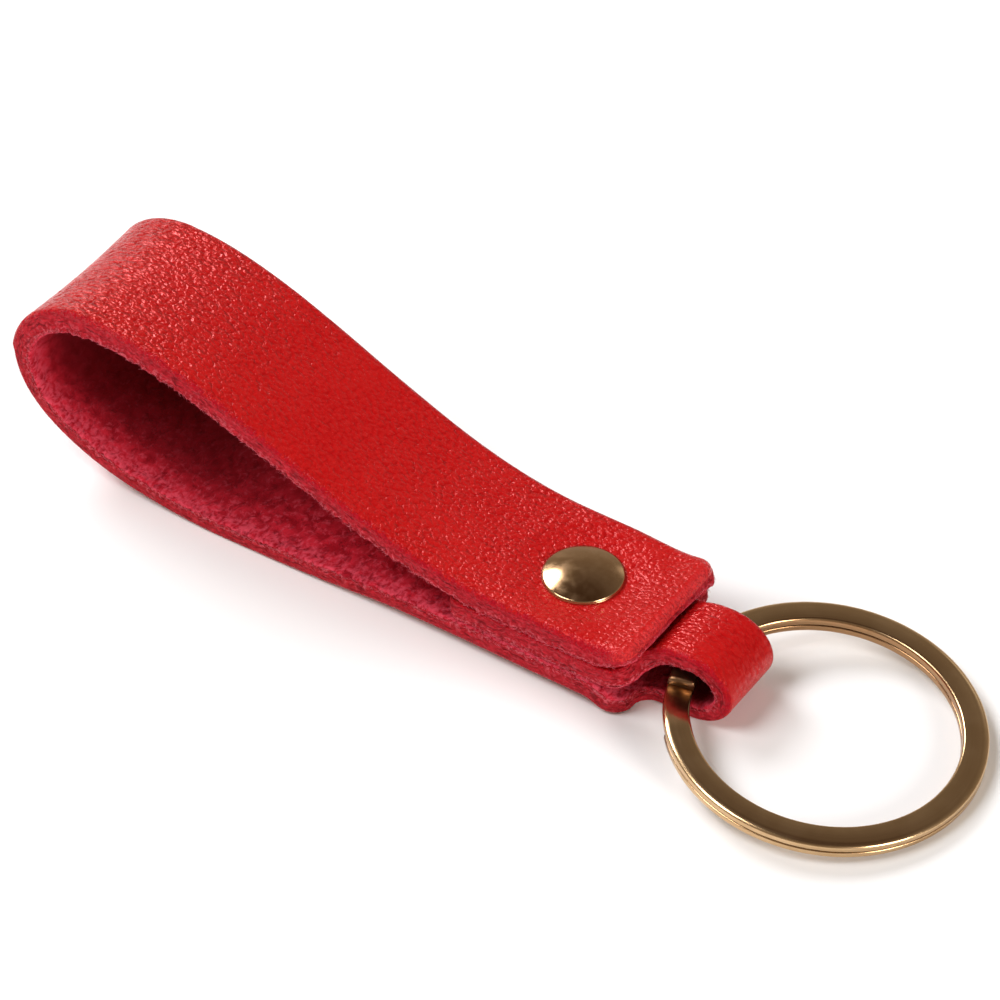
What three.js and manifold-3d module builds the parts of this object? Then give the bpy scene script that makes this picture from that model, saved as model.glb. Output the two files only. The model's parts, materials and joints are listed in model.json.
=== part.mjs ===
import * as THREE from 'three';
import { mergeVertices } from 'three/addons/utils/BufferGeometryUtils.js';
import Module from 'manifold-3d';

// A leather keychain: one strap, folded into a finger loop and closed by a double cap rivet.
// Its narrow neck wraps round a two-turn split ring, and its tail lies in the middle of the fold.
// Millimetres, +Z up. The strap runs along X, from the loop to the ring, and lies on the plane z = 0.

// Leather
const leatherThickness = 2.1;
const neckThickness = 1.8;
const layerGap = 0.3;
const grainEdgeRound = 0.8;
const fleshEdgeRound = 0.2;

// Flat pattern of the strap, before it is folded
const stackWidth = 16.0;
const loopWidth = 17.2;
const neckWidth = 8.0;
const neckLength = 20.0;
const shoulderRadius = 2.2;
const endCornerRadius = 1.8;
const tailCornerRadius = 1.5;

// Fold of the strap, measured from the rivet's axis
const stackLift = 1.05;
const topEndReach = 9.9;
const topEndLift = 0.75;
const flatReach = 4.6;
const tailReach = 10.2;
const loopReach = 60.1;
const loopHeight = 20.9;
const crownSetback = 9.5;
const bulgeHeight = 13.0;
const lowPointSetback = 24.5;

// How far each bend of the fold runs straight on at its start and at its end, as shares of its run
const riseEase = [0.38, 0.32];
const crownEase = [0.69, 0.31];
const bulgeEase = [0.64, 0.55];
const returnEase = [0.57, 0.46];
const roundEase = [0.55, 0.55];
const rampEase = [0.5, 0.5];

// Neck fold round the ring
const neckProud = 8.7;
const neckLift = 0.1;
const neckBendLength = 4.4;
const neckDroopLength = 4.8;
const tailRampReach = 6.1;

// Split ring, wound from flat wire
const ringOuterDiameter = 30;
const ringWireWidth = 2.5;
const ringWireHeight = 0.66;
const ringTurnGap = 0.45;
const ringEdgeRound = 0.18;
const ringSeamAngle = THREE.MathUtils.degToRad(210);
const ringClimbAngle = THREE.MathUtils.degToRad(24);
const ringNeckSetback = 5.85;
const ringClearance = 0.2;

// Double cap rivet
const capDiameter = 7.9;
const capSink = 0.7;
const capSheet = 0.2;
const capRoom = 0.3;
const lipRoom = 0.05;
const flangeInset = 1.15;
const flangeHold = 0.2;
const flangeThickness = 0.18;
const postDiameter = 2.5;
const postWall = 0.35;
const postHeadFlare = 0.5;
const postHeadThickness = 0.2;
const postClearance = 0.2;
const socketWall = 0.3;
const socketLength = 2.4;
const rivetGap = 0.06;
const holeClearance = 0.15;

// Fineness of the facets
const loopStep = 1.6;
const neckStep = 0.7;
const cornerSteps = 5;
const ringStepsPerTurn = 60;
const rivetSides = 36;
const domeSteps = 6;

const leatherRed = new THREE.MeshStandardMaterial({ color: 0xb51c20, roughness: 0.55, metalness: 0 });
const lightBrass = new THREE.MeshStandardMaterial({ color: 0xc3a169, roughness: 0.22, metalness: 1 });
const darkBrass = new THREE.MeshStandardMaterial({ color: 0x94805c, roughness: 0.18, metalness: 1 });
const plainSteel = new THREE.MeshStandardMaterial({ color: 0xa7a7a2, roughness: 0.35, metalness: 1 });

const wasm = await Module();
wasm.setup();

// Heights of the three layers at the rivet. The neck's round underside lifts them off the surface.
const layerPitch = leatherThickness + layerGap;
const bottomLayer = stackLift + leatherThickness / 2;
const middleLayer = bottomLayer + layerPitch;
const topLayer = middleLayer + layerPitch;
const stackTop = topLayer + leatherThickness / 2;
const stackUnderside = bottomLayer - leatherThickness / 2;

// The ring's wire inside the neck, which it has to clear all the way round as it swings
const ringRadius = (ringOuterDiameter - ringWireWidth) / 2;
const ringHeight = 2 * ringWireHeight + ringTurnGap;
const ringBow = ringRadius - Math.sqrt(ringRadius ** 2 - (neckWidth / 2) ** 2);
const ringSweep = Math.hypot((ringWireWidth + ringBow) / 2, ringHeight / 2);
const neckBore = 2 * (ringSweep + ringClearance);

// Rivet sizes that follow from what sits inside the caps
const flangeFoot = capSheet + rivetGap;
const postHeadFoot = flangeFoot + flangeThickness + rivetGap;
const capHeight = postHeadFoot + postHeadThickness + capRoom + capSheet;
const capLip = flangeInset + flangeHold;
const capSkirt = capSheet + lipRoom;
const flangeDiameter = capDiameter - 2 * flangeInset;
const postHeadDiameter = postDiameter + 2 * postHeadFlare;
const socketDiameter = postDiameter + 2 * (postClearance + socketWall);

// Heights and reach of the neck
const neckReach = topEndReach + neckProud;
const boreFloor = neckLift + neckThickness;
const boreMiddle = boreFloor + neckBore / 2;
const neckFloor = boreFloor - neckThickness / 2;
const neckRoof = boreFloor + neckBore + neckThickness / 2;

function solidFromGeometry(geometry) {
  const bare = geometry.clone();
  bare.deleteAttribute('normal');
  bare.deleteAttribute('uv');
  const merged = mergeVertices(bare, 1e-5);
  const corners = Array.from(merged.index.array);
  const triangles = [];
  for (let i = 0; i < corners.length; i += 3) {
    const [a, b, c] = corners.slice(i, i + 3);
    if (a !== b && b !== c && c !== a) triangles.push(a, b, c);
  }
  const vertProperties = new Float32Array(merged.attributes.position.array);
  return new wasm.Manifold(new wasm.Mesh({ numProp: 3, vertProperties, triVerts: new Uint32Array(triangles) }));
}

function geometryFromSolid(solid) {
  const mesh = solid.getMesh();
  const geometry = new THREE.BufferGeometry();
  geometry.setAttribute('position', new THREE.BufferAttribute(mesh.vertProperties, 3));
  geometry.setIndex(new THREE.BufferAttribute(mesh.triVerts, 1));
  geometry.computeVertexNormals();
  return geometry;
}

function namedMesh(name, geometry, material) {
  const mesh = new THREE.Mesh(geometry, material);
  mesh.name = name;
  return mesh;
}

// Joins a row of like sections into one closed skin, with a flat face at each end
function loft(sections) {
  const sides = sections[0].length;
  const positions = [];
  for (const section of sections) {
    for (const point of section) positions.push(point.x, point.y, point.z);
  }
  const triangles = [];
  for (let row = 0; row + 1 < sections.length; row += 1) {
    for (let side = 0; side < sides; side += 1) {
      const next = (side + 1) % sides;
      const a = row * sides + side;
      const b = row * sides + next;
      triangles.push(a, b, b + sides, a, b + sides, a + sides);
    }
  }
  const last = (sections.length - 1) * sides;
  for (let side = 1; side + 1 < sides; side += 1) {
    triangles.push(0, side + 1, side, last, last + side, last + side + 1);
  }
  const geometry = new THREE.BufferGeometry();
  geometry.setAttribute('position', new THREE.Float32BufferAttribute(positions, 3));
  geometry.setIndex(triangles);
  geometry.computeVertexNormals();
  return geometry;
}

// A curve that leaves and arrives along two headings
function bend(from, leaving, to, arriving, [leaveEase, arriveEase]) {
  const run = to.clone().sub(from);
  const leaveHandle = from.clone().addScaledVector(leaving, Math.abs(run.dot(leaving)) * leaveEase);
  const arriveHandle = to.clone().addScaledVector(arriving, -Math.abs(run.dot(arriving)) * arriveEase);
  return new THREE.CubicBezierCurve(from, leaveHandle, arriveHandle, to);
}

// The strap's middle line in the XZ plane, from the square top end to the hidden tail
function foldPath() {
  const half = leatherThickness / 2;
  const left = new THREE.Vector2(-1, 0);
  const right = new THREE.Vector2(1, 0);
  const up = new THREE.Vector2(0, 1);
  const down = new THREE.Vector2(0, -1);

  const topEnd = new THREE.Vector2(topEndReach, topLayer + topEndLift);
  const topCurl = new THREE.Vector2((topEndReach + flatReach) / 2, topLayer);
  const topFlatStart = new THREE.Vector2(flatReach, topLayer);
  const topFlatEnd = new THREE.Vector2(-flatReach, topLayer);
  const crown = new THREE.Vector2(crownSetback - loopReach, loopHeight - half);
  const bulge = new THREE.Vector2(half - loopReach, bulgeHeight);
  const lowPoint = new THREE.Vector2(lowPointSetback - loopReach, half);
  const bottomFlatStart = new THREE.Vector2(-tailReach, bottomLayer);
  const bottomFlatEnd = new THREE.Vector2(flatReach, bottomLayer);
  const floorStart = new THREE.Vector2(flatReach + neckDroopLength, neckFloor);
  const floorEnd = new THREE.Vector2(neckReach - neckBendLength, neckFloor);
  const nose = new THREE.Vector2(neckReach - neckThickness / 2, boreMiddle);
  const roof = new THREE.Vector2(neckReach - neckBendLength, neckRoof);
  const tailFlatStart = new THREE.Vector2(tailRampReach, middleLayer);
  const tailEnd = new THREE.Vector2(-tailReach, middleLayer);

  const toNose = new THREE.CurvePath();
  toNose.add(new THREE.QuadraticBezierCurve(topEnd, topCurl, topFlatStart));
  toNose.add(new THREE.LineCurve(topFlatStart, topFlatEnd));
  toNose.add(bend(topFlatEnd, left, crown, left, riseEase));
  toNose.add(bend(crown, left, bulge, down, crownEase));
  toNose.add(bend(bulge, down, lowPoint, right, bulgeEase));
  toNose.add(bend(lowPoint, right, bottomFlatStart, right, returnEase));
  toNose.add(new THREE.LineCurve(bottomFlatStart, bottomFlatEnd));
  toNose.add(bend(bottomFlatEnd, right, floorStart, right, rampEase));
  toNose.add(new THREE.LineCurve(floorStart, floorEnd));
  toNose.add(bend(floorEnd, right, nose, up, roundEase));

  const path = new THREE.CurvePath();
  path.curves = [...toNose.curves];
  path.add(bend(nose, up, roof, left, roundEase));
  path.add(bend(roof, left, tailFlatStart, left, rampEase));
  path.add(new THREE.LineCurve(tailFlatStart, tailEnd));
  return { path, noseLength: toNose.getLength(), length: path.getLength(), lengths: path.getCurveLengths() };
}

// Lengths along a round corner, close together where the outline runs across the strap
function cornerStations(steep, gentle) {
  const stations = [];
  for (let step = 0; step <= cornerSteps; step += 1) {
    const turn = (step / cornerSteps) * Math.PI / 2;
    stations.push(steep + (gentle - steep) * (1 - Math.cos(turn)));
  }
  return stations;
}

// Height of a quarter circle above its chord's foot, at a distance from its steep end
function quarterRise(radius, distance) {
  const along = Math.min(Math.max(distance, 0), radius);
  return Math.sqrt(radius * radius - (radius - along) * (radius - along));
}

// One strap of leather, cut to the flat pattern and folded along the path
function leatherStrap() {
  const fold = foldPath();
  const loopStart = fold.lengths[1];
  const loopEnd = fold.lengths[5];
  const neckMiddle = fold.noseLength;
  const shoulderStart = neckMiddle - neckLength / 2;
  const shoulderEnd = neckMiddle + neckLength / 2;
  const filletRadius = (stackWidth - neckWidth) / 2 - shoulderRadius;

  function halfWidth(length) {
    const round = THREE.MathUtils.clamp((length - loopStart) / (loopEnd - loopStart), 0, 1);
    const swell = Math.sin(Math.PI * round) ** 2;
    const full = THREE.MathUtils.lerp(stackWidth, loopWidth, swell) / 2;
    const beyond = Math.abs(length - neckMiddle) - neckLength / 2;
    if (beyond <= 0) return neckWidth / 2 + filletRadius - quarterRise(filletRadius, -beyond);
    const endCut = endCornerRadius - quarterRise(endCornerRadius, length);
    const tailCut = tailCornerRadius - quarterRise(tailCornerRadius, fold.length - length);
    const shoulderCut = shoulderRadius - quarterRise(shoulderRadius, beyond);
    return full - Math.max(endCut, tailCut, shoulderCut);
  }

  function thickness(length) {
    const beyond = Math.abs(length - neckMiddle) - neckLength / 2;
    const thin = THREE.MathUtils.smoothstep(beyond, -shoulderRadius, shoulderRadius);
    return THREE.MathUtils.lerp(neckThickness, leatherThickness, thin);
  }

  const stations = [
    ...cornerStations(0, endCornerRadius),
    ...cornerStations(shoulderStart, shoulderStart - shoulderRadius),
    ...cornerStations(shoulderStart, shoulderStart + filletRadius),
    ...cornerStations(shoulderEnd, shoulderEnd - filletRadius),
    ...cornerStations(shoulderEnd, shoulderEnd + shoulderRadius),
    ...cornerStations(fold.length, fold.length - tailCornerRadius),
  ];
  for (let length = loopStep; length < fold.length - loopStep; length += loopStep) stations.push(length);
  for (let length = shoulderStart; length < shoulderEnd; length += neckStep) stations.push(length);
  stations.sort((a, b) => a - b);
  const leastStep = 0.02;
  const spaced = stations.filter((length, i) => i === 0 || length - stations[i - 1] > leastStep);

  function section(length) {
    const share = Math.min(length / fold.length, 1);
    const point = fold.path.getPoint(share);
    const heading = fold.path.getTangent(share);
    const half = halfWidth(length);
    const grain = thickness(length) / 2;
    const bevel = grainEdgeRound * (1 - Math.SQRT1_2);
    const outline = [
      [half - grainEdgeRound, grain],
      [half - bevel, grain - bevel],
      [half, grain - grainEdgeRound],
      [half, fleshEdgeRound - grain],
      [half - fleshEdgeRound, -grain],
    ];
    const mirrored = outline.map(([side, rise]) => [-side, rise]).reverse();
    return [...outline, ...mirrored].map(([side, rise]) => (
      new THREE.Vector3(point.x + heading.y * rise, side, point.y - heading.x * rise)
    ));
  }

  const holeRadius = socketDiameter / 2 + holeClearance;
  const holeLength = stackTop - stackUnderside + 2;
  const hole = upright(new THREE.CylinderGeometry(holeRadius, holeRadius, holeLength, rivetSides));
  hole.translate(0, 0, (stackTop + stackUnderside) / 2);
  const seatRadius = capDiameter / 2 + holeClearance;
  const upperSeat = upright(new THREE.CylinderGeometry(seatRadius, seatRadius, capSink * 2, rivetSides));
  const lowerSeat = upperSeat.clone();
  upperSeat.translate(0, 0, stackTop);
  lowerSeat.translate(0, 0, stackUnderside);

  let solid = solidFromGeometry(loft(spaced.map(section)));
  for (const cutter of [hole, upperSeat, lowerSeat]) solid = solid.subtract(solidFromGeometry(cutter));
  return namedMesh('leather_strap', geometryFromSolid(solid), leatherRed);
}

// Stands a geometry that is made round the Y axis up along Z
function upright(geometry) {
  return geometry.rotateX(Math.PI / 2);
}

function revolve(profile) {
  const points = profile.map(([radius, height]) => new THREE.Vector2(radius, height));
  return geometryFromSolid(solidFromGeometry(upright(new THREE.LatheGeometry(points, rivetSides))));
}

// Least distance between two stretches of the wire that are half a turn or more apart
function leastGap(sections, apart) {
  let least = Infinity;
  for (let i = 0; i < sections.length; i += 1) {
    for (let j = i + apart; j < sections.length; j += 1) {
      for (const a of sections[i]) {
        for (const b of sections[j]) least = Math.min(least, a.distanceTo(b));
      }
    }
  }
  return least;
}

// Two turns of flat wire. The upper end is just inside the neck's near mouth. Past the mouth the wire climbs
// between its two ends, from the lower turn to the upper one.
function splitRing() {
  const pitch = ringWireHeight + ringTurnGap;
  const sweep = 4 * Math.PI - ringClimbAngle;
  const steps = Math.round(sweep * ringStepsPerTurn / (2 * Math.PI));
  const halfWidth = ringWireWidth / 2;
  const halfHeight = ringWireHeight / 2;
  const outline = [
    [halfWidth, halfHeight - ringEdgeRound],
    [halfWidth - ringEdgeRound, halfHeight],
    [ringEdgeRound - halfWidth, halfHeight],
    [-halfWidth, halfHeight - ringEdgeRound],
    [-halfWidth, ringEdgeRound - halfHeight],
    [ringEdgeRound - halfWidth, -halfHeight],
    [halfWidth - ringEdgeRound, -halfHeight],
    [halfWidth, ringEdgeRound - halfHeight],
  ];
  const sections = [];
  for (let step = 0; step <= steps; step += 1) {
    const travel = (step / steps) * sweep;
    const angle = ringSeamAngle - ringClimbAngle / 2 - travel;
    const descent = THREE.MathUtils.smoothstep(travel, 2 * Math.PI - ringClimbAngle, 2 * Math.PI);
    const height = (0.5 - descent) * pitch;
    sections.push(outline.map(([out, rise]) => new THREE.Vector3(
      Math.cos(angle) * (ringRadius + out),
      Math.sin(angle) * (ringRadius + out),
      height + rise,
    )));
  }
  console.log('split ring, least gap to itself in mm:', leastGap(sections, Math.floor(ringStepsPerTurn / 2)).toFixed(2));
  return namedMesh('split_ring', loft(sections), lightBrass);
}

// Points along a shallow dome, from the axis out to a radius
function domeArc(radius, foot, rise) {
  const sphere = (radius * radius + rise * rise) / (2 * rise);
  const points = [];
  for (let step = 0; step <= domeSteps; step += 1) {
    const out = (step / domeSteps) * radius;
    points.push([out, foot + rise - sphere + Math.sqrt(sphere * sphere - out * out)]);
  }
  return points;
}

// A drawn cap: a domed sheet whose rim is rolled in under itself. Its rim lies on the plane z = 0.
function capShell(name, material) {
  const radius = capDiameter / 2;
  const rimRound = capSheet / 2;
  const outsideFoot = capSkirt + rimRound;
  const outside = domeArc(radius, outsideFoot, capHeight - outsideFoot);
  const inside = domeArc(radius - capSheet, capSkirt, capHeight - capSheet - capSkirt);
  const rim = [
    [radius - capSheet, capSheet],
    [radius - capLip, capSheet],
    [radius - capLip, 0],
    [radius - rimRound, 0],
    [radius, rimRound],
  ];
  return namedMesh(name, revolve([...inside, ...rim, ...outside.reverse()]), material);
}

// The upper cap's inner piece: a flange that the cap's rim holds, and a short tube into the leather
function capSocket() {
  const outer = socketDiameter / 2;
  const bore = outer - socketWall;
  const profile = [
    [bore, -socketLength],
    [outer, -socketLength],
    [outer, flangeFoot],
    [flangeDiameter / 2, flangeFoot],
    [flangeDiameter / 2, flangeFoot + flangeThickness],
    [bore, flangeFoot + flangeThickness],
    [bore, -socketLength],
  ];
  return namedMesh('rivet_cap_socket', revolve(profile), plainSteel);
}

// The tubular post: a flange in the lower cap, a stem through the leather and a head set in the upper cap
function rivetPost(span) {
  const outer = postDiameter / 2;
  const bore = outer - postWall;
  const foot = -flangeFoot - flangeThickness;
  const headFoot = span + postHeadFoot;
  const headTop = headFoot + postHeadThickness;
  const profile = [
    [bore, foot],
    [flangeDiameter / 2, foot],
    [flangeDiameter / 2, -flangeFoot],
    [outer, -flangeFoot],
    [outer, headFoot],
    [postHeadDiameter / 2, headFoot],
    [postHeadDiameter / 2, headTop],
    [bore, headTop],
    [bore, foot],
  ];
  return namedMesh('rivet_post', revolve(profile), plainSteel);
}

// The rivet's four drawn pieces, on the Z axis
function rivet() {
  const upperSeat = stackTop - capSink + rivetGap;
  const lowerSeat = stackUnderside + capSink - rivetGap;
  const cap = capShell('rivet_cap', darkBrass);
  cap.position.z = upperSeat;
  const socket = capSocket();
  socket.position.z = upperSeat;
  const post = rivetPost(upperSeat - lowerSeat);
  post.position.z = lowerSeat;
  const backCap = capShell('rivet_back_cap', darkBrass);
  backCap.position.z = lowerSeat;
  backCap.rotation.x = Math.PI;
  const group = new THREE.Group();
  group.add(cap, socket, post, backCap);
  return group;
}

// The ring turns about a line across the neck. It lies tilted, with its far side down on the surface.
function hangingRing() {
  const reach = ringRadius - ringBow / 2;
  const farEdge = reach + ringOuterDiameter / 2;
  const slant = Math.hypot(farEdge, ringHeight / 2);
  const swing = new THREE.Group();
  swing.position.set(neckReach - ringNeckSetback + ringBow / 2, 0, boreMiddle);
  swing.rotation.y = Math.asin(boreMiddle / slant) - Math.atan2(ringHeight / 2, farEdge);
  const ring = splitRing();
  ring.position.x = reach;
  swing.add(ring);
  return swing;
}

const keychain = new THREE.Group();
keychain.add(leatherStrap(), rivet(), hangingRing());

// The origin is under the middle of the whole keychain, on the surface that it lies on
keychain.updateMatrixWorld(true);
const extent = new THREE.Box3().setFromObject(keychain, true);
const middle = extent.getCenter(new THREE.Vector3());
keychain.position.set(-middle.x, -middle.y, -extent.min.z);

export default keychain;
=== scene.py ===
import json
import math
import random

import bmesh
import bpy
import numpy as np
from mathutils import Matrix, Vector, kdtree, noise


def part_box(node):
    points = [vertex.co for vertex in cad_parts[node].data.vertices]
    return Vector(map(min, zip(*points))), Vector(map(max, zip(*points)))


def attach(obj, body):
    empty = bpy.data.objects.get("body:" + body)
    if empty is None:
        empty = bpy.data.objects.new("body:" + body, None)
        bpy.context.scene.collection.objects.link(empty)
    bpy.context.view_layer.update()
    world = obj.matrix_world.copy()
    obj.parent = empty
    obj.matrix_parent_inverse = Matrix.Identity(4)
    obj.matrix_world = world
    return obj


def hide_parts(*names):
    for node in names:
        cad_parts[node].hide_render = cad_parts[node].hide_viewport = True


# A red leather keychain: one folded strap, a double cap rivet and a two-turn split ring.
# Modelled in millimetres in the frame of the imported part, and turned into metres as each mesh is made.

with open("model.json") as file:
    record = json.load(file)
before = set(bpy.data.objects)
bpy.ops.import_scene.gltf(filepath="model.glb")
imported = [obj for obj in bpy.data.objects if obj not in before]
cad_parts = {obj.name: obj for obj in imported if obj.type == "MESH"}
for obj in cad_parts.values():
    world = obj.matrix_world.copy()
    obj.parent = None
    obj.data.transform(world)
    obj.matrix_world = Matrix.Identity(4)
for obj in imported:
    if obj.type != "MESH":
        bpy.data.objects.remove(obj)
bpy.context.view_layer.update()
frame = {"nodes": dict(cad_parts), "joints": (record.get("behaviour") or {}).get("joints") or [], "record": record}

MM = 0.001
random.seed(11)


def box_mm(node):
    low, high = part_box(node)
    return np.array(low) / MM, np.array(high) / MM


# Places and sizes that the frame gives
strap_low, strap_high = box_mm("leather_strap")
cap_low, cap_high = box_mm("rivet_cap")
back_low, back_high = box_mm("rivet_back_cap")
ring_low, ring_high = box_mm("split_ring")
ring_pivot = np.array(frame["joints"][0]["pos_m"]) / MM
ring_face = next(m for m in frame["record"]["mounts"] if m["name"] == "key_ring_face")
ring_tilt = math.atan2(ring_face["axis"][0], ring_face["axis"][2])
rivet_x = (cap_low[0] + cap_high[0]) / 2
loop_reach = rivet_x - strap_low[0]
loop_height = strap_high[2]
loop_width = strap_high[1] - strap_low[1]
neck_reach = strap_high[0] - rivet_x
cap_radius = (cap_high[0] - cap_low[0]) / 2
ring_outer_radius = (ring_high[1] - ring_low[1]) / 2

# Leather, and how its layers lie on each other
LEATHER = 2.1
NECK_LEATHER = 1.8
LAYER_GAP = 0.3
LAYER_CLOSING = 0.27
CLOSING_FADE = (-12.0, -6.0)
OPEN_END_FADE = (1.0, 6.0)
RIVET_DIP = 0.5
RIVET_DIP_START_SHARE = 0.95
RIVET_DIP_REACH = 7.5
HOLE_RADIUS = 1.9

# The grain side's form
GRAIN_ROUND = 0.5
END_ROUND = 1.0
END_ROUND_FADE = (3.0, 9.0)
NECK_ROUND = 0.5
NECK_ROUND_FADE = 2.0
PRESSED_ROUND = 0.18
GRAIN_WAVE = 0.05
GRAIN_WAVE_SCALE = 0.16
SADDLE_DEPTH = 0.65
SADDLE_LEVEL = 0.6
SHOULDER_CURL = 0.45
SHOULDER_CURL_REACH = 4.0

# The flesh side's form, where each wave of the ragged rim is a share, a scale and a seed
FLESH_ROUND = 0.22
FLESH_NAP = 0.06
FLESH_NAP_SCALE = 1.3
SKIVE_DEPTH = 0.5
SKIVE_LENGTH = 4.0
FAR_CORNER_SWELL = 0.3
RIM_BURR = 0.6
BURR_REACH = 1.3
FLESH_SPREAD = 0.45
FLESH_RAGGED = 0.26
RAGGED_REACH = 0.8
RAGGED_FADE = 4.0
STACK_TRIM = 0.5
RAGGED_WAVES = ((0.7, 2.1, 4), (0.6, 4.3, 5))

# The cut edge's form
EDGE_BULGE = 0.06
EDGE_ROUGHNESS = 0.09
EDGE_ROUGH_SCALE = 2.6

# Seeds of the soft noise
WAVE_SEED, NAP_SEED, EDGE_SEED = 1, 2, 3
SEED_SHIFT = np.array([17.3, 5.1, 9.7])

# Painted shade on the flesh side: darker in the loop's round end and in the neck's bore, fading out towards the
# rims
LOOP_SHADE_DEPTH = 0.8
LOOP_SHADE_FADE = (-8.0, 10.0)
LOOP_SHADE_RIM = 5.5
NECK_SHADE_DEPTH = 0.9
NECK_SHADE_FADE = 3.0
NECK_SHADE_RIM = 1.2

# Loose fibres, each with a length, a lean, a droop and a thickness between two limits
FIBRES = 6000
FIBRE_SIDES = 3
FIBRE_STEPS = (0.0, 0.4, 0.75, 1.0)
FIBRE_ROOT = 0.05
FIBRE_RISE = (-0.02, 0.3)
FIBRE_REACH = (0.1, 0.4)
FIBRE_LEAN = (-1.4, 1.4)
FIBRE_DROOP = (-0.7, 0.3)
FIBRE_THICKNESS = (0.016, 0.036)
FIBRE_BOW = 0.35
FIBRE_TAPER = 0.75
FIBRE_SLANT = 0.3

# Flat pattern of the strap
STACK_WIDTH = 16.0
NECK_WIDTH = 8.0
NECK_LENGTH = 20.0
SHOULDER_RADIUS = 2.2
END_CORNER = 1.8
TAIL_CORNER = 1.5

# Fold of the strap, measured from the rivet's axis
STACK_LIFT = 1.05
TOP_END_REACH = 9.9
TOP_END_LIFT = 0.75
FLAT_REACH = 4.6
TAIL_REACH = 10.2
CROWN_SETBACK = 9.5
BULGE_HEIGHT = 13.0
LOW_POINT_SETBACK = 24.5
NECK_BEND_LENGTH = 4.4
NECK_DROOP_LENGTH = 4.8
NECK_LIFT = 0.1
TAIL_RAMP_REACH = 6.1
RISE_EASE = (0.38, 0.32)
CROWN_EASE = (0.69, 0.31)
BULGE_EASE = (0.64, 0.55)
RETURN_EASE = (0.57, 0.46)
ROUND_EASE = (0.55, 0.55)
RAMP_EASE = (0.5, 0.5)

# Split ring, wound from flat wire
WIRE_WIDTH = 2.5
WIRE_HEIGHT = 0.86
RING_HEIGHT = 1.77
SEAM_ROUND = 0.12
OUTER_ROUND = 0.75
INNER_ROUND = 0.3
OPEN_DROP = 0.36
WIRE_CROWN = 0.03
SEAM_ANGLE = math.radians(210)
CLIMB_ANGLE = math.radians(24)
END_SHADE_LENGTH = 3.5

# Rivet caps, drawn from sheet
CAP_SHEET = 0.2
CAP_SHOULDER = 0.42
CAP_DOME_INSET = 0.05
CAP_INSIDE_INSET = 0.25
CAP_RIM_ROUND = 0.2
CAP_RIM_TURNS = range(50, -91, -20)
CAP_LIP = 1.3
CAP_CORNER_INSET = 0.4
CAP_CORNER_HEIGHT = 0.24

# Surface of the materials
CELL_SCATTER = 0.9
CELL_SOFTNESS = 0.18
CELL_FALL = 2.6
DASH_SHARE = 0.4
SCATTER_DEPTH = 0.5
GRAIN_DEPTH = 0.12
EDGE_DEPTH = 0.17
FLESH_DEPTH = 0.22
RING_LINE_DEPTH = 0.012
CAP_SPECK_DEPTH = 0.005

# Fineness
CURVE_POINTS = 240
PATH_STEP = 0.05
SMOOTHING_POINTS = 15
STRAP_STEP = 0.14
LEAST_STEP = 0.02
STRAP_COLUMNS = 49
EDGE_ROWS = 8
CORNER_STEPS = 9
RING_STEPS = 216
FLAT_STEPS = 9
EDGE_STEPS = 8
CAP_SIDES = 128
DOME_STEPS = 21
INSIDE_STEPS = 10
TINY = 1e-6

# Order of the strap's materials
GRAIN, EDGE, FLESH = 0, 1, 2

# Camera, as the photograph was taken
CAMERA_AZIMUTH = math.radians(33.812)
CAMERA_ELEVATION = math.radians(42.199)
CAMERA_DISTANCE = 435.16
CAMERA_TARGET = np.array([-16.181 + rivet_x, 10.251, 1.1])
CAMERA_LENS = 162.0
CAMERA_NEAR = 0.01
SENSOR_WIDTH = 36.0
FLOOR_REACH = 3.0


def smoothstep(low, high, value):
    share = np.clip((value - low) / (high - low), 0.0, 1.0)
    return share * share * (3.0 - 2.0 * share)


def srgb(red, green, blue):
    """A colour given as 0 to 255 on screen, in the linear values that shaders take."""
    channels = []
    for value in (red / 255, green / 255, blue / 255):
        channels.append(value / 12.92 if value <= 0.04045 else ((value + 0.055) / 1.055) ** 2.4)
    return (*channels, 1.0)


def add_object(name, data):
    item = bpy.data.objects.new(name, data)
    bpy.context.scene.collection.objects.link(item)
    return item


def mesh_from(name, points_mm, faces, slots=None):
    """A smooth mesh in metres, its faces pointing out."""
    mesh = bpy.data.meshes.new(name)
    mesh.from_pydata((np.asarray(points_mm) * MM).tolist(), [], faces)
    if slots is not None:
        mesh.polygons.foreach_set("material_index", slots)
    work = bmesh.new()
    work.from_mesh(mesh)
    bmesh.ops.recalc_face_normals(work, faces=work.faces)
    work.to_mesh(mesh)
    work.free()
    mesh.polygons.foreach_set("use_smooth", [True] * len(mesh.polygons))
    mesh.update()
    return mesh


def write_attributes(mesh, **named):
    """Values kept at the mesh's points for the materials: one number each, or three."""
    for name, given in named.items():
        values = np.asarray(given, np.float32)
        kind, field = ("FLOAT_VECTOR", "vector") if values.ndim == 2 else ("FLOAT", "value")
        made = mesh.attributes.new(name, kind, "POINT")
        made.data.foreach_set(field, values.ravel())


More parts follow.
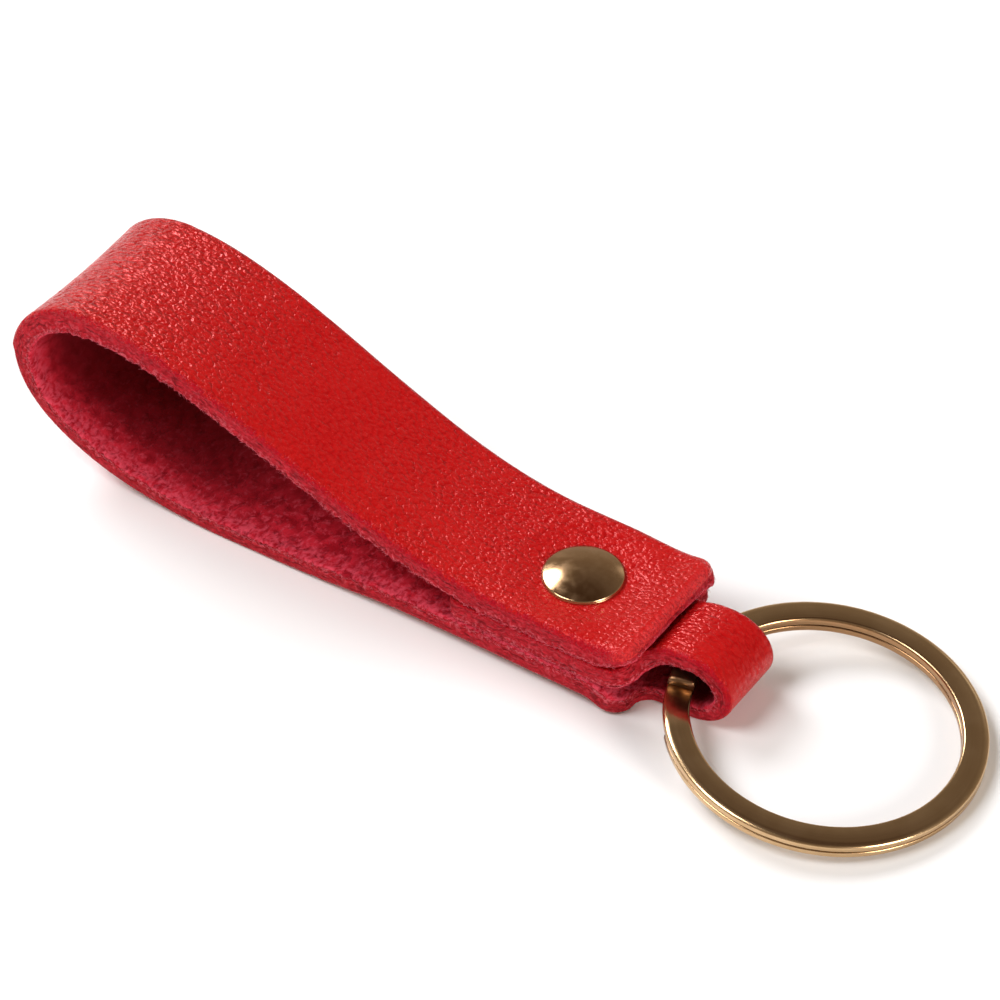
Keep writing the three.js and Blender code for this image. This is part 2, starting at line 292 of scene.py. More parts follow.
class Shader:
    """A material's nodes, with short ways to add and join them."""

    def __init__(self, name):
        self.material = bpy.data.materials.new(name)
        self.material.use_nodes = True
        self.tree = self.material.node_tree
        self.tree.nodes.clear()
        self.output = self.tree.nodes.new("ShaderNodeOutputMaterial")

    def set(self, socket, value):
        if isinstance(value, bpy.types.NodeSocket):
            self.tree.links.new(value, socket)
        else:
            socket.default_value = value

    def node(self, kind, inputs=None, **settings):
        made = self.tree.nodes.new("ShaderNode" + kind)
        for name, value in settings.items():
            setattr(made, name, value)
        for name, value in (inputs or {}).items():
            self.set(made.inputs[name], value)
        return made

    def attribute(self, name, output="Fac"):
        return self.node("Attribute", attribute_name=name).outputs[output]

    def object_place(self):
        return self.node("TexCoord").outputs["Object"]

    def split(self, vector, axis):
        return self.node("SeparateXYZ", {0: vector}).outputs[axis]

    def math(self, operation, first, second):
        return self.node("Math", {0: first, 1: second}, operation=operation).outputs[0]

    def times(self, first, second):
        return self.math("MULTIPLY", first, second)

    def vector(self, operation, first, second):
        return self.node("VectorMath", {0: first, 1: second}, operation=operation).outputs[0]

    def stretch(self, vector, factors):
        return self.vector("MULTIPLY", vector, factors)

    def noise(self, vector, scale, detail=2.0, roughness=0.5, output="Fac"):
        values = {"Vector": vector, "Scale": scale, "Detail": detail, "Roughness": roughness}
        return self.node("TexNoise", values).outputs[output]

    def warp(self, vector, scale, amount):
        """The vector, moved about by soft noise."""
        shift = self.noise(vector, scale, 1.0, output="Color")
        centred = self.vector("SUBTRACT", shift, (0.5, 0.5, 0.5))
        scaled = self.node("VectorMath", {0: centred, "Scale": amount}, operation="SCALE").outputs[0]
        return self.vector("ADD", vector, scaled)

    def cells(self, vector, scale):
        """Close-packed round domes over the first two coordinates, with soft creases between them."""
        values = {"Vector": vector, "Scale": scale, "Randomness": CELL_SCATTER, "Smoothness": CELL_SOFTNESS}
        made = self.node("TexVoronoi", values, feature="SMOOTH_F1", voronoi_dimensions="2D")
        out = made.outputs["Distance"]
        return self.math("SUBTRACT", 1.0, self.times(self.times(out, out), CELL_FALL))

    def remap(self, value, low, high, to_low=0.0, to_high=1.0):
        values = {"Value": value, "From Min": low, "From Max": high, "To Min": to_low, "To Max": to_high}
        return self.node("MapRange", values, interpolation_type="SMOOTHSTEP").outputs["Result"]

    def blend(self, share, first, second):
        """A number between two numbers."""
        made = self.node("Mix", data_type="FLOAT")
        self.set(made.inputs[0], share)
        self.set(made.inputs[2], first)
        self.set(made.inputs[3], second)
        return made.outputs[0]

    def mix(self, share, first, second):
        """A colour between two colours."""
        made = self.node("Mix", data_type="RGBA")
        self.set(made.inputs[0], share)
        self.set(made.inputs[6], first)
        self.set(made.inputs[7], second)
        return made.outputs[2]

    def bump(self, height, depth_mm, strength=1.0):
        values = {"Height": height, "Distance": depth_mm * MM, "Strength": strength}
        return self.node("Bump", values).outputs["Normal"]

    def surface(self, **inputs):
        named = {key.replace("_", " "): value for key, value in inputs.items()}
        made = self.node("BsdfPrincipled", named)
        self.tree.links.new(made.outputs["BSDF"], self.output.inputs["Surface"])
        return self.material


# The strap's middle line

def curve(*points):
    """Points along a Bezier curve of any degree."""
    share = np.linspace(0.0, 1.0, CURVE_POINTS)[:, None]
    level = [np.asarray(point, float)[None, :] for point in points]
    while len(level) > 1:
        level = [first * (1 - share) + second * share for first, second in zip(level, level[1:])]
    return level[0]


def bend(start, leaving, end, arriving, eases):
    """A curve that leaves and arrives along two headings, with handles that are shares of the run."""
    start, end = np.asarray(start, float), np.asarray(end, float)
    leaving, arriving = np.asarray(leaving, float), np.asarray(arriving, float)
    run = end - start
    leave_handle = start + leaving * abs(run @ leaving) * eases[0]
    arrive_handle = end - arriving * abs(run @ arriving) * eases[1]
    return curve(start, leave_handle, arrive_handle, end)


left, right, up, down = (-1, 0), (1, 0), (0, 1), (0, -1)
half_leather = LEATHER / 2
layer_pitch = LEATHER + LAYER_GAP
bottom_layer = STACK_LIFT + half_leather
middle_layer = bottom_layer + layer_pitch
top_layer = middle_layer + layer_pitch
neck_floor = NECK_LIFT + NECK_LEATHER / 2
bore_middle = ring_pivot[2]
neck_roof = 2 * bore_middle - neck_floor

top_end = (TOP_END_REACH, top_layer + TOP_END_LIFT)
top_curl = ((TOP_END_REACH + FLAT_REACH) / 2, top_layer)
crown = (CROWN_SETBACK - loop_reach, loop_height - half_leather)
bulge = (half_leather - loop_reach, BULGE_HEIGHT)
low_point = (LOW_POINT_SETBACK - loop_reach, half_leather)
floor_start = (FLAT_REACH + NECK_DROOP_LENGTH, neck_floor)
floor_end = (neck_reach - NECK_BEND_LENGTH, neck_floor)
nose = (neck_reach - NECK_LEATHER / 2, bore_middle)
roof = (neck_reach - NECK_BEND_LENGTH, neck_roof)
tail_flat = (TAIL_RAMP_REACH, middle_layer)
stretches = [
    curve(top_end, top_curl, (FLAT_REACH, top_layer)),
    curve((FLAT_REACH, top_layer), (-FLAT_REACH, top_layer)),
    bend((-FLAT_REACH, top_layer), left, crown, left, RISE_EASE),
    bend(crown, left, bulge, down, CROWN_EASE),
    bend(bulge, down, low_point, right, BULGE_EASE),
    bend(low_point, right, (-TAIL_REACH, bottom_layer), right, RETURN_EASE),
    curve((-TAIL_REACH, bottom_layer), (FLAT_REACH, bottom_layer)),
    bend((FLAT_REACH, bottom_layer), right, floor_start, right, RAMP_EASE),
    curve(floor_start, floor_end),
    bend(floor_end, right, nose, up, ROUND_EASE),
    bend(nose, up, roof, left, ROUND_EASE),
    bend(roof, left, tail_flat, left, RAMP_EASE),
    curve(tail_flat, (-TAIL_REACH, middle_layer)),
]


def path_length(points):
    return float(np.hypot(*np.diff(points, axis=0).T).sum())


ends = np.cumsum([path_length(points) for points in stretches])
loop_start, loop_end, nose_length, strap_length = ends[1], ends[5], ends[9], ends[12]
crown_length, bulge_length, low_length = ends[2], ends[3], ends[4]

joined = np.vstack([stretches[0]] + [points[1:] for points in stretches[1:]])
travelled = np.concatenate([[0.0], np.cumsum(np.hypot(*np.diff(joined, axis=0).T))])
path_s = np.arange(0.0, strap_length, PATH_STEP)
path_x = np.interp(path_s, travelled, joined[:, 0])
path_z = np.interp(path_s, travelled, joined[:, 1])
smoothing = np.hanning(SMOOTHING_POINTS)
smoothing /= smoothing.sum()


def soften(values):
    padded = np.pad(values, len(smoothing) // 2, mode="edge")
    return np.convolve(padded, smoothing, mode="valid")


heading_x = soften(np.gradient(path_x, PATH_STEP))
heading_z = soften(np.gradient(path_z, PATH_STEP))
heading_size = np.hypot(heading_x, heading_z)
heading_x, heading_z = heading_x / heading_size, heading_z / heading_size
turning = soften(soften(np.gradient(np.unwrap(np.arctan2(heading_z, heading_x)), PATH_STEP)))


def along(values, length):
    return np.interp(length, path_s, values)


def place(length, across, rise):
    """Points of the folded strap: along it, across it, and off its middle line towards the grain."""
    inside = np.clip(length, 0.0, path_s[-1])
    over = length - inside
    hx, hz = along(heading_x, inside), along(heading_z, inside)
    x = along(path_x, inside) + hx * over + hz * rise
    z = along(path_z, inside) + hz * over - hx * rise
    return np.stack([x + rivet_x, across, z], axis=-1)


def bend_share(length):
    """How tightly the loop bends, as a share of its tightest bend."""
    turns = np.where(path_s < loop_end, np.clip(turning, 0.0, None), 0.0)
    return along(turns / turns.max(), length)


def layer_lengths():
    """Lengths along the strap at which its three layers cross the rivet's axis."""
    flips = np.nonzero(np.diff(np.sign(path_x)) != 0)[0]
    return path_s[flips]


# The strap's flat pattern

neck_from, neck_to = nose_length - NECK_LENGTH / 2, nose_length + NECK_LENGTH / 2
fillet_radius = (STACK_WIDTH - NECK_WIDTH) / 2 - SHOULDER_RADIUS


def quarter_rise(radius, distance):
    run = np.clip(distance, 0.0, radius)
    return np.sqrt(radius * radius - (radius - run) ** 2)


def half_width(length):
    share = np.clip((length - loop_start) / (loop_end - loop_start), 0.0, 1.0)
    swell = np.sin(np.pi * share) ** 2
    full = (STACK_WIDTH + (loop_width - STACK_WIDTH) * swell) / 2
    beyond = np.abs(length - nose_length) - NECK_LENGTH / 2
    neck = NECK_WIDTH / 2 + fillet_radius - quarter_rise(fillet_radius, -beyond)
    end_cut = END_CORNER - quarter_rise(END_CORNER, length)
    tail_cut = TAIL_CORNER - quarter_rise(TAIL_CORNER, strap_length - length)
    shoulder_cut = SHOULDER_RADIUS - quarter_rise(SHOULDER_RADIUS, beyond)
    cut = np.maximum(np.maximum(end_cut, tail_cut), shoulder_cut)
    return np.where(beyond <= 0, neck, full - cut)


def corner_stations(steep, gentle):
    turn = np.linspace(0.0, np.pi / 2, CORNER_STEPS)
    return steep + (gentle - steep) * (1 - np.cos(turn))


def strap_stations():
    """Lengths of the grid's rows, closer where the outline turns a corner."""
    found = np.concatenate([
        np.arange(0.0, strap_length, STRAP_STEP),
        corner_stations(0.0, END_CORNER),
        corner_stations(neck_from, neck_from - SHOULDER_RADIUS),
        corner_stations(neck_from, neck_from + fillet_radius),
        corner_stations(neck_to, neck_to - fillet_radius),
        corner_stations(neck_to, neck_to + SHOULDER_RADIUS),
        corner_stations(strap_length, strap_length - TAIL_CORNER),
    ])
    found = np.unique(found.round(4))
    return found[np.concatenate([[True], np.diff(found) > LEAST_STEP])]


def punch_holes(length, across):
    """Finds the cells that the rivet passes through, and moves the points round them onto circles."""
    rows, columns = length.shape
    open_cells = np.zeros((rows - 1, columns - 1), bool)
    for layer_s in layer_lengths():
        middle_s = (length[1:, 1:] + length[:-1, :-1]) / 2 - layer_s
        middle_t = (across[1:, 1:] + across[:-1, :-1]) / 2
        cells = np.hypot(middle_s, middle_t) < HOLE_RADIUS
        open_cells |= cells
        touching = np.zeros((rows, columns), int)
        for down_by in (0, 1):
            for right_by in (0, 1):
                touching[down_by:rows - 1 + down_by, right_by:columns - 1 + right_by] += cells
        rim = (touching > 0) & (touching < 4)
        radius = np.hypot(length[rim] - layer_s, across[rim])
        length[rim] = layer_s + (length[rim] - layer_s) * HOLE_RADIUS / radius
        across[rim] *= HOLE_RADIUS / radius
    return open_cells


def boundary_loop(rows, columns):
    """Grid indices round the edge of the strap, once round."""
    first = [row * columns for row in range(rows)]
    last = [(rows - 1) * columns + column for column in range(1, columns)]
    back = [row * columns + columns - 1 for row in range(rows - 2, -1, -1)]
    start = list(range(columns - 2, 0, -1))
    return np.array(first + last + back + start)


def nearest_on_outline(outline, flat):
    """The outline's nearest point to each point of the flat pattern, and the distance to it."""
    tree = kdtree.KDTree(len(outline))
    for index, (s, t) in enumerate(outline.tolist()):
        tree.insert((s, t, 0.0), index)
    tree.balance()
    nearest = [tree.find(point) for point in flat.tolist()]
    return np.array([found[1] for found in nearest]), np.array([found[2] for found in nearest])


def outward_headings(outline):
    ahead = np.roll(outline, -1, axis=0) - np.roll(outline, 1, axis=0)
    outward = np.stack([-ahead[:, 1], ahead[:, 0]], axis=1)
    outward /= np.maximum(np.linalg.norm(outward, axis=1, keepdims=True), TINY)
    return outward * np.sign((outward * (outline - [strap_length / 2, 0.0])).sum())


# The strap's thickness

def noise_at(points, scale, seed):
    """Soft noise from -1 to 1 at rows of points in millimetres."""
    shifted = points * scale + seed * SEED_SHIFT
    return np.array([noise.noise(Vector(point)) for point in shifted.tolist()])


def edge_drop(distance, radius):
    """How far a face falls away near a rounded edge."""
    return radius - quarter_rise(radius, distance)


def squeezed(points):
    """The leather sinks round the rivet's caps, towards the stack's middle, and flattens on the table."""
    out = np.hypot(points[:, 0] - rivet_x, points[:, 1])
    dip = RIVET_DIP * (1 - smoothstep(cap_radius * RIVET_DIP_START_SHARE, RIVET_DIP_REACH, out))
    lift = (points[:, 2] - middle_layer) / (top_layer + half_leather - middle_layer)
    moved = points.copy()
    moved[:, 2] -= dip * np.clip(lift, -1.0, 1.0)
    moved[:, 2] = np.maximum(moved[:, 2], 0.0)
    return moved


def ragged_rim(outline):
    """How far the flesh's rim stands out past the outline, torn by the knife and spread by the bend."""
    s = outline[:, 0]
    at_rim = np.column_stack([outline, np.zeros(len(outline))])
    spread = FLESH_SPREAD * bend_share(s) ** 0.5
    trimmed = 1 - STACK_TRIM * smoothstep(loop_end, neck_from, s)
    torn = sum(share * noise_at(at_rim, scale, seed) for share, scale, seed in RAGGED_WAVES)
    return FLESH_RAGGED * (smoothstep(0.0, RAGGED_FADE, s) * trimmed) * torn + spread


def face_heights(flat, rim_distance):
    """Heights of the grain and of the flesh off the strap's middle line."""
    s, t = flat[:, 0], flat[:, 1]
    beyond = np.abs(s - nose_length) - NECK_LENGTH / 2
    in_full = smoothstep(-SHOULDER_RADIUS, SHOULDER_RADIUS, beyond)
    half = (NECK_LEATHER + (LEATHER - NECK_LEATHER) * in_full) / 2
    bent = bend_share(s)
    saddle = SADDLE_DEPTH * bent * ((t / (loop_width / 2)) ** 2 - SADDLE_LEVEL)
    far_side = smoothstep(NECK_WIDTH / 2, STACK_WIDTH / 2, t)
    from_shoulder = np.where(s > nose_length, s - neck_to, SHOULDER_CURL_REACH)
    curl = SHOULDER_CURL * far_side * (1 - smoothstep(0.0, SHOULDER_CURL_REACH, from_shoulder))

    fade = NECK_ROUND_FADE
    round_at = [*END_ROUND_FADE, neck_from - fade, neck_from + fade, neck_to - fade, neck_to + fade]
    round_by = [END_ROUND, GRAIN_ROUND, GRAIN_ROUND, NECK_ROUND, NECK_ROUND, PRESSED_ROUND]
    grain_round = np.interp(s, round_at, round_by)
    wave = GRAIN_WAVE * noise_at(flat, GRAIN_WAVE_SCALE, WAVE_SEED)
    grain_rise = half - edge_drop(rim_distance, grain_round) + saddle + wave + curl

    lies_flat = smoothstep(*CLOSING_FADE, along(path_x, s)) * in_full * (s < nose_length)
    lies_flat = lies_flat * np.where(s < loop_start, smoothstep(*OPEN_END_FADE, s), 1.0)
    closing = LAYER_CLOSING * lies_flat
    nap = FLESH_NAP * noise_at(flat, FLESH_NAP_SCALE, NAP_SEED)
    burr = RIM_BURR * bent ** 0.5 * (1 - smoothstep(0.0, BURR_REACH, rim_distance))
    flesh_rise = saddle + nap - half - closing + edge_drop(rim_distance, FLESH_ROUND) - burr
    at_end = 1 - smoothstep(0.0, SKIVE_LENGTH, s)
    pared = SKIVE_DEPTH * (1 - smoothstep(0.0, STACK_WIDTH / 2, t)) - FAR_CORNER_SWELL * far_side
    return grain_rise, flesh_rise + curl + pared * at_end


# What the strap's materials are told about each point

def by_station(length, stations):
    """Values between stations along the strap, each a length and its value."""
    lengths, values = zip(*stations)
    return np.interp(length, lengths, values)


def grain_relief(length):
    """How high the pebbles stand along the strap: fullest on the crown, pulled flatter on the bends."""
    climb = crown_length - loop_start
    return by_station(length, [
        (0.0, 0.55),
        (ends[0], 0.6),
        (loop_start, 1.15),
        (loop_start + climb * 0.22, 1.2),
        (loop_start + climb * 0.5, 0.55),
        (crown_length, 2.1),
        ((crown_length + bulge_length) / 2, 2.2),
        (bulge_length, 0.3),
        (low_length, 0.6),
        (neck_from, 0.5),
        (nose_length, 0.2),
        (neck_to, 1.1),
    ])


def grain_sheen(length):
    """How glossy the grain is along the strap: rubbed bright on the crown, duller round the bends."""
    return by_station(length, [
        (0.0, 0.9),
        (crown_length - 12.0, 1.0),
        (crown_length - 4.0, 1.8),
        (crown_length + 0.5, 2.0),
        (crown_length + 3.5, 0.35),
        (bulge_length, 0.4),
        (low_length, 0.9),
        (neck_from, 0.9),
        (nose_length - 1.0, 0.4),
        (nose_length + 1.0, 0.5),
        (neck_to - 3.0, 1.3),
    ])


def unworn_share(length, rim):
    """Painted shade: the flesh is darkened in the loop's round end and in the neck's bore, where shade falls, less
    so near the rims.
    """
    fade_from, fade_to = low_point[0] + LOOP_SHADE_FADE[0], low_point[0] + LOOP_SHADE_FADE[1]
    round_end = 1 - smoothstep(fade_from, fade_to, along(path_x, length))
    round_end = np.where(along(path_z, length) < BULGE_HEIGHT, round_end, 1.0)
    in_loop = LOOP_SHADE_DEPTH * round_end * smoothstep(0.0, LOOP_SHADE_RIM, rim)
    past_shoulder = smoothstep(neck_from, neck_from + NECK_SHADE_FADE, length)
    in_neck = NECK_SHADE_DEPTH * past_shoulder * smoothstep(0.0, NECK_SHADE_RIM, rim)
    return np.where(length < loop_end, in_loop, in_neck)


# The strap and its loose fibres

def strap_faces(rows, columns, open_cells, loop):
    """Quads of the grain, the flesh, the cut edge and the hole, with the material of each."""
    faces, slots = [], []
    under = rows * columns
    for row in range(rows - 1):
        for column in range(columns - 1):
            a = row * columns + column
            quad = (a, a + columns, a + columns + 1, a + 1)
            if open_cells[row, column]:
                for first, second, next_row, next_column in (
                    (a, a + columns, row, column - 1),
                    (a + 1, a + columns + 1, row, column + 1),
                    (a, a + 1, row - 1, column),
                    (a + columns, a + columns + 1, row + 1, column),
                ):
                    if not open_cells[next_row, next_column]:
                        faces.append((first, second, second + under, first + under))
                        slots.append(EDGE)
                continue
            faces.append(quad)
            slots.append(GRAIN)
            faces.append(tuple(index + under for index in quad))
            slots.append(FLESH)
    count = len(loop)
    between = [2 * under + row * count + np.arange(count) for row in range(EDGE_ROWS - 1)]
    rings = [loop, *between, loop + under]
    for upper, lower in zip(rings, rings[1:]):
        for index in range(count):
            after = (index + 1) % count
            faces.append((int(upper[index]), int(upper[after]), int(lower[after]), int(lower[index])))
            slots.append(EDGE)
    return faces, slots


def make_strap():
    """The folded strap, and its ragged rim's line in the flat pattern, outward headings and rise."""
    stations = strap_stations()
    rows, columns = len(stations), STRAP_COLUMNS
    shares = np.sin(np.linspace(-np.pi / 2, np.pi / 2, columns))
    length = np.repeat(stations[:, None], columns, axis=1)
    across = half_width(stations)[:, None] * shares[None, :]
    open_cells = punch_holes(length, across)

    # The two faces
    loop = boundary_loop(rows, columns)
    outline = np.stack([length.ravel()[loop], across.ravel()[loop]], axis=1)
    flat = np.stack([length.ravel(), across.ravel(), np.zeros(rows * columns)], axis=1)
    rim_index, rim_distance = nearest_on_outline(outline, flat)
    outward = outward_headings(outline)
    ragged = ragged_rim(outline)
    grain_rise, flesh_rise = face_heights(flat, rim_distance)
    s, t = flat[:, 0], flat[:, 1]
    rim_share = 1 - smoothstep(0.0, RAGGED_REACH, rim_distance)
    flesh_plan = flat[:, :2] + outward[rim_index] * (ragged[rim_index] * rim_share)[:, None]
    grain_points = place(s, t, grain_rise)
    flesh_points = place(flesh_plan[:, 0], flesh_plan[:, 1], flesh_rise)

    # The cut edge, from the grain's rim to the flesh's rim
    edge_points, edge_flat, edge_depth = [], [], []
    for row in range(1, EDGE_ROWS):
        depth = row / EDGE_ROWS
        belly = math.sin(math.pi * depth)
        rise = grain_rise[loop] * (1 - depth) + flesh_rise[loop] * depth
        at = np.column_stack([outline, rise])
        rough = EDGE_ROUGHNESS * noise_at(at, EDGE_ROUGH_SCALE, EDGE_SEED) * belly ** 0.5
        out = EDGE_BULGE * belly + rough + ragged * depth ** 1.5
        moved = outline + outward * out[:, None]
        edge_points.append(place(moved[:, 0], moved[:, 1], rise))
        edge_flat.append(at)
        edge_depth.append(np.full(len(loop), depth))

    points = squeezed(np.vstack([grain_points, flesh_points] + edge_points))
    grain_flat = np.column_stack([s, t, grain_rise])
    flesh_flat = np.column_stack([s, t, flesh_rise])
    coordinates = np.vstack([grain_flat, flesh_flat] + edge_flat)
    rim = np.concatenate([rim_distance, rim_distance, np.zeros(len(loop) * (EDGE_ROWS - 1))])
    all_s = coordinates[:, 0]
    faces, slots = strap_faces(rows, columns, open_cells, loop)
    mesh = mesh_from("leather_strap_folded", points, faces, slots)
    write_attributes(
        mesh,
        flat=coordinates,
        depth=np.concatenate([np.zeros(len(s)), np.ones(len(s))] + edge_depth),
        rim=rim,
        strain=bend_share(all_s),
        relief=grain_relief(all_s),
        sheen=grain_sheen(all_s),
        shelter=unworn_share(all_s, rim),
    )
    ragged_line = outline + outward * ragged[:, None]
    return add_object("leather_strap_folded", mesh), ragged_line, outward, flesh_rise[loop]


def make_fibres(rim_line, outward, flesh_rise):
    """Loose fibres along the flesh side's ragged rim."""
    points, faces, tints = [], [], []
    sides = FIBRE_SIDES
    for _ in range(FIBRES):
        index = random.randrange(len(rim_line))
        root = rim_line[index] - outward[index] * FIBRE_ROOT
        rise = flesh_rise[index] + random.uniform(*FIBRE_RISE)
        reach = random.uniform(*FIBRE_REACH)
        lean = random.uniform(*FIBRE_LEAN)
        droop = random.uniform(*FIBRE_DROOP)
        thickness = random.uniform(*FIBRE_THICKNESS)
        tint = random.random()
        ahead = np.array([-outward[index][1], outward[index][0]])
        first = len(points)
        for step, share in enumerate(FIBRE_STEPS):
            run = reach * share
            flat = root + outward[index] * run * (1 - FIBRE_BOW * share) + ahead * lean * run * share
            spot = place(flat[0], flat[1], rise + droop * run * share)
            width = thickness * (1 - FIBRE_TAPER * share)
            for side in range(sides):
                turn = 2 * math.pi * side / sides
                points.append(spot + np.array([FIBRE_SLANT, math.cos(turn), math.sin(turn)]) * width)
                tints.append(tint)
            if step:
                low = first + (step - 1) * sides
                for side in range(sides):
                    after = (side + 1) % sides
                    faces.append((low + side, low + after, low + sides + after, low + sides + side))
        faces.append(tuple(range(first, first + sides)))
        faces.append(tuple(range(len(points) - sides, len(points))))
    mesh = mesh_from("edge_fibres", squeezed(np.array(points)), faces)
    write_attributes(mesh, tint=tints)
    return add_object("edge_fibres", mesh)


# The ring and the rivet's caps

def loft(name, sections):
    """Joins like sections into one closed skin with a flat face at each end."""
    sides = len(sections[0])
    faces = []
    for row in range(len(sections) - 1):
        for side in range(sides):
            after = (side + 1) % sides
            a, b = row * sides + side, row * sides + after
            faces.append((a, b, b + sides, a + sides))
    faces.append(tuple(range(sides)))
    faces.append(tuple(range((len(sections) - 1) * sides, len(sections) * sides)))
    return mesh_from(name, np.vstack(sections), faces)


def wire_outline(descent):
    """The flat wire's section, out from the ring's middle line and up.

    Tumbling rounds the edges that lie open: the upper ones on the upper turn, the lower ones on the
    lower turn.
    """
    found = []
    corners = [(1, 1, 0), (-1, 1, 90), (-1, -1, 180), (1, -1, 270)]
    for across, rise, start in corners:
        open_share = 1 - descent if rise > 0 else descent
        here, opposite = (OUTER_ROUND, INNER_ROUND) if across > 0 else (INNER_ROUND, OUTER_ROUND)
        wide = SEAM_ROUND + (here - SEAM_ROUND) * open_share
        tall = SEAM_ROUND + (OPEN_DROP - SEAM_ROUND) * open_share
        for step in range(EDGE_STEPS + 1):
            turn = math.radians(start + step * 90 / EDGE_STEPS)
            out = across * (WIRE_WIDTH / 2 - wide) + math.cos(turn) * wide
            height = rise * (WIRE_HEIGHT / 2 - WIRE_CROWN - tall) + math.sin(turn) * tall
            found.append((out, height))
        if across == rise:
            far_wide = SEAM_ROUND + (opposite - SEAM_ROUND) * open_share
            flat_from = across * (WIRE_WIDTH / 2 - wide)
            flat_to = -across * (WIRE_WIDTH / 2 - far_wide)
            for share in np.linspace(-1.0, 1.0, FLAT_STEPS)[1:-1]:
                out = (flat_from + flat_to) / 2 + (flat_to - flat_from) / 2 * share
                found.append((out, rise * (WIRE_HEIGHT / 2 - WIRE_CROWN * share * share)))
    return np.array(found)


def make_ring():
    radius = ring_outer_radius - WIRE_WIDTH / 2
    bow = radius - math.sqrt(radius ** 2 - (NECK_WIDTH / 2) ** 2)
    reach = radius - bow / 2
    pitch = RING_HEIGHT - WIRE_HEIGHT
    sweep = 4 * math.pi - CLIMB_ANGLE
    steps = round(sweep * RING_STEPS / (2 * math.pi))
    turn_down = np.array(Matrix.Rotation(ring_tilt, 3, "Y"))
    sections, places = [], []
    for step in range(steps + 1):
        travel = sweep * step / steps
        angle = SEAM_ANGLE - CLIMB_ANGLE / 2 - travel
        descent = float(smoothstep(2 * math.pi - CLIMB_ANGLE, 2 * math.pi, travel))
        outline = wire_outline(descent)
        out = radius + outline[:, 0]
        height = (0.5 - descent) * pitch + outline[:, 1]
        flat = np.stack([math.cos(angle) * out + reach, math.sin(angle) * out, height], axis=1)
        sections.append(flat @ turn_down.T + ring_pivot)
        places.append(np.stack([np.full(len(out), travel * radius), outline[:, 0], height], axis=1))
    mesh = loft("split_ring_wound", sections)
    wire = np.vstack(places)
    from_end = np.minimum(wire[:, 0], sweep * radius - wire[:, 0])
    # Painted shade: the wire is darker, and rougher, over its last few millimetres towards each sawn end
    write_attributes(mesh, worn=1 - smoothstep(0.0, END_SHADE_LENGTH, from_end), wire=wire)
    return add_object("split_ring_wound", mesh)


def cap_profile(height):
    """Half section of a drawn cap, from the crown of the dome to the rim and in under it."""
    dome_radius = cap_radius - CAP_DOME_INSET
    rise = height - CAP_SHOULDER
    sphere = (dome_radius ** 2 + rise ** 2) / (2 * rise)
    rim_middle = cap_radius - CAP_RIM_ROUND
    found = []
    for step in range(DOME_STEPS + 1):
        out = dome_radius * step / DOME_STEPS
        found.append((out, height - sphere + math.sqrt(sphere ** 2 - out ** 2)))
    for degrees in CAP_RIM_TURNS:
        turn = math.radians(degrees)
        found.append((rim_middle + CAP_RIM_ROUND * math.cos(turn), CAP_RIM_ROUND * (1 + math.sin(turn))))
    found.append((cap_radius - CAP_LIP, 0.0))
    found.append((cap_radius - CAP_LIP, CAP_SHEET))
    found.append((cap_radius - CAP_CORNER_INSET, CAP_CORNER_HEIGHT))
    for step in range(INSIDE_STEPS, -1, -1):
        out = (dome_radius - CAP_INSIDE_INSET) * step / INSIDE_STEPS
        found.append((out, height - CAP_SHEET - sphere + math.sqrt(sphere ** 2 - out ** 2)))
    return found


def make_cap(name, low, high, upside_down):
    profile = cap_profile(high[2] - low[2])
    points, faces = [], []
    for out, height in profile:
        z = high[2] - height if upside_down else low[2] + height
        if out < TINY:
            points.append((rivet_x, 0.0, z))
            continue
        for side in range(CAP_SIDES):
            turn = 2 * math.pi * side / CAP_SIDES
            points.append((rivet_x + out * math.cos(turn), out * math.sin(turn), z))
    rings = len(profile) - 2
    last = 1 + (rings - 1) * CAP_SIDES
    for side in range(CAP_SIDES):
        after = (side + 1) % CAP_SIDES
        faces.append((0, 1 + side, 1 + after))
        faces.append((1 + rings * CAP_SIDES, last + after, last + side))
        for ring in range(rings - 1):
            a = 1 + ring * CAP_SIDES
            faces.append((a + side, a + CAP_SIDES + side, a + CAP_SIDES + after, a + after))
    return add_object(name, mesh_from(name, points, faces))


# Materials

